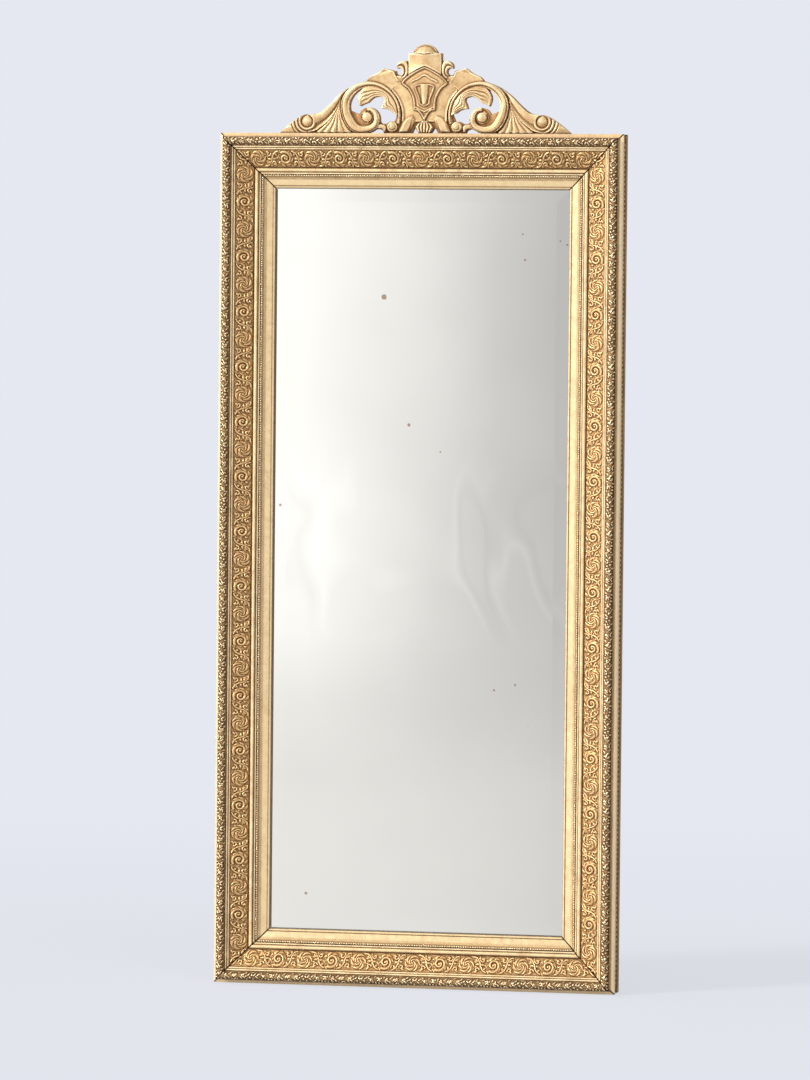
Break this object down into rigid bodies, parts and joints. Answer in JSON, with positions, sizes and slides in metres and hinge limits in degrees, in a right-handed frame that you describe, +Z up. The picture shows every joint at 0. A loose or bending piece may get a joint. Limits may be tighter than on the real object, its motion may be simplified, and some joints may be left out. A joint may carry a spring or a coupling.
{
  "type": "pier mirror",
  "caption": "Tall gilt pier mirror: mitred frame with leaf torus and rosette frieze, bright slip, bevelled plate, pierced carved crest, hanging rings at the back.",
  "frame": {"origin": "centre of the bounding box at the lowest level, under the bottom rail", "axes": "+Z up, the mirror's face looks along -Y, +X to the right seen from the front"},
  "size_m": [0.802, 0.09, 1.8499],
  "materials": {
    "gilt_wood": "gold leaf over gesso on wood, rubbed",
    "burnished_gilt": "burnished water gilding on wood",
    "frieze_gilt": "gold leaf on pressed composition, dark in the hollows",
    "leaf_gilt": "gold leaf on pressed composition",
    "bead_gilt": "gold leaf on pressed composition",
    "pearl_gilt": "gold leaf on pressed composition",
    "mirror_glass": "silvered plate glass with a ground bevel, slightly foxed",
    "pine": "bare aged pine",
    "hardwood": "bare aged hardwood",
    "iron": "dark forged iron",
    "crest_gilt": "gold leaf over gesso on carved wood"
  },
  "bodies": {
    "root": {"stile_left": "gilt_wood", "stile_right": "gilt_wood", "rail_top": "gilt_wood", "rail_bottom": "gilt_wood", "slip_left": "burnished_gilt", "slip_right": "burnished_gilt", "slip_top": "burnished_gilt", "slip_bottom": "burnished_gilt", "frieze_left": "frieze_gilt", "frieze_right": "frieze_gilt", "frieze_top": "frieze_gilt", "frieze_bottom": "frieze_gilt", "leaf_torus_left": "leaf_gilt", "leaf_torus_right": "leaf_gilt", "leaf_torus_top": "leaf_gilt", "leaf_torus_bottom": "leaf_gilt", "beads_left": "bead_gilt", "beads_right": "bead_gilt", "beads_top": "bead_gilt", "beads_bottom": "bead_gilt", "pearls_left": "pearl_gilt", "pearls_right": "pearl_gilt", "pearls_top": "pearl_gilt", "pearls_bottom": "pearl_gilt", "mirror_plate": "mirror_glass", "glazing_blocks": "pine", "backboard_1": "pine", "backboard_2": "pine", "backboard_3": "pine", "backboard_4": "pine", "backboard_5": "pine", "backboard_6": "pine", "mitre_keys": "hardwood", "crest_batten_left": "hardwood", "crest_batten_right": "hardwood", "backboard_nails": "iron", "batten_screws": "iron", "hanger_left": "iron", "hanger_right": "iron", "hanger_screws": "iron", "crest_board": "crest_gilt", "crest_scroll_left": "crest_gilt", "crest_scroll_right": "crest_gilt", "crest_wing_left": "crest_gilt", "crest_wing_right": "crest_gilt", "crest_cartouche": "crest_gilt", "crest_cap": "crest_gilt"},
    "ring_left": {"ring_left": "iron"},
    "ring_right": {"ring_right": "iron"}
  },
  "joints": [
    {"name": "ring_left_swing", "type": "hinge", "parent": "root", "child": "ring_left", "pos_m": [-0.36975, 0.03746, 1.38], "axis": [1, 0, 0], "range_deg": [0, 175]},
    {"name": "ring_right_swing", "type": "hinge", "parent": "root", "child": "ring_right", "pos_m": [0.36975, 0.03746, 1.38], "axis": [1, 0, 0], "range_deg": [0, 175]}
  ]
}
